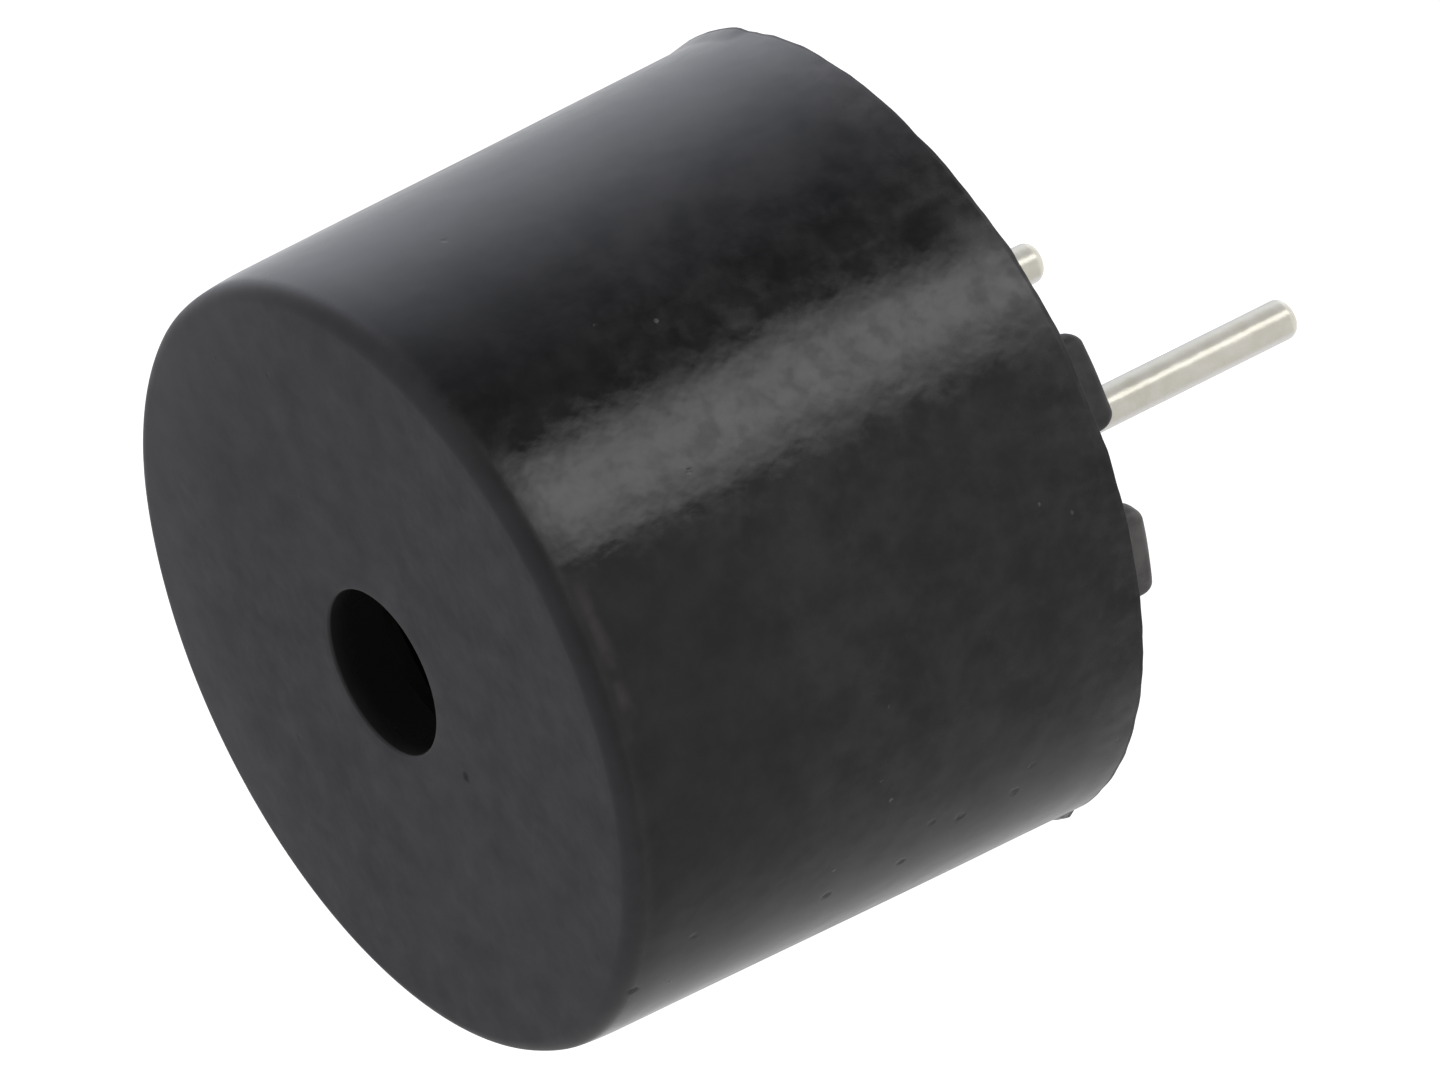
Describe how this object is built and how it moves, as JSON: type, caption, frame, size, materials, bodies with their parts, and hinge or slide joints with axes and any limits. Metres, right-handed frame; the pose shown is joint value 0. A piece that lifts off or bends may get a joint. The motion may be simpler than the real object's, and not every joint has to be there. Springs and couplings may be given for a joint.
{
  "type": "magnetic buzzer",
  "caption": "Small round magnetic buzzer for a circuit board: a black tapered housing with a central sound hole, low feet round its open end, and straight tinned leads below.",
  "frame": {"origin": "midway between the leads, in the plane of the feet's undersides, where the circuit board that carries the buzzer lies", "axes": "+Z along the housing's axis towards the sound hole, so the leads point along -Z; the leads stand apart along X"},
  "size_m": [0.012, 0.012, 0.0136],
  "materials": {
    "housing_plastic": "black moulded plastic, fine matt texture on the sound face and satin on the side",
    "adhesive": "cured epoxy, glossy meniscus",
    "board_laminate": "glass-epoxy laminate under green solder mask",
    "copper": "copper foil, partly tinned",
    "tinned_wire": "bright tin with fine drawing marks",
    "solder": "smooth solder",
    "plated_steel": "plated mild steel",
    "spring_steel": "rolled sheet",
    "ferrite": "dull sintered ferrite",
    "bobbin_plastic": "natural moulded plastic",
    "enamelled_copper": "enamelled copper wire",
    "blackened_steel": "turned steel, blackened"
  },
  "bodies": {
    "root": {"housing": "housing_plastic", "sealing_bead": "adhesive", "circuit_board": "board_laminate", "pad_positive": "copper", "pad_negative": "copper", "lead_positive": "tinned_wire", "lead_negative": "tinned_wire", "lead_solder_positive": "solder", "lead_solder_negative": "solder", "yoke_plate": "plated_steel", "pole_core": "plated_steel", "magnet_ring": "ferrite", "bobbin": "bobbin_plastic", "coil_winding": "enamelled_copper", "coil_wire_positive": "enamelled_copper", "coil_wire_negative": "enamelled_copper", "wire_solder_positive": "solder", "wire_solder_negative": "solder", "support_ring": "blackened_steel", "diaphragm": "spring_steel", "diaphragm_weight": "plated_steel"}
  },
  "joints": []
}
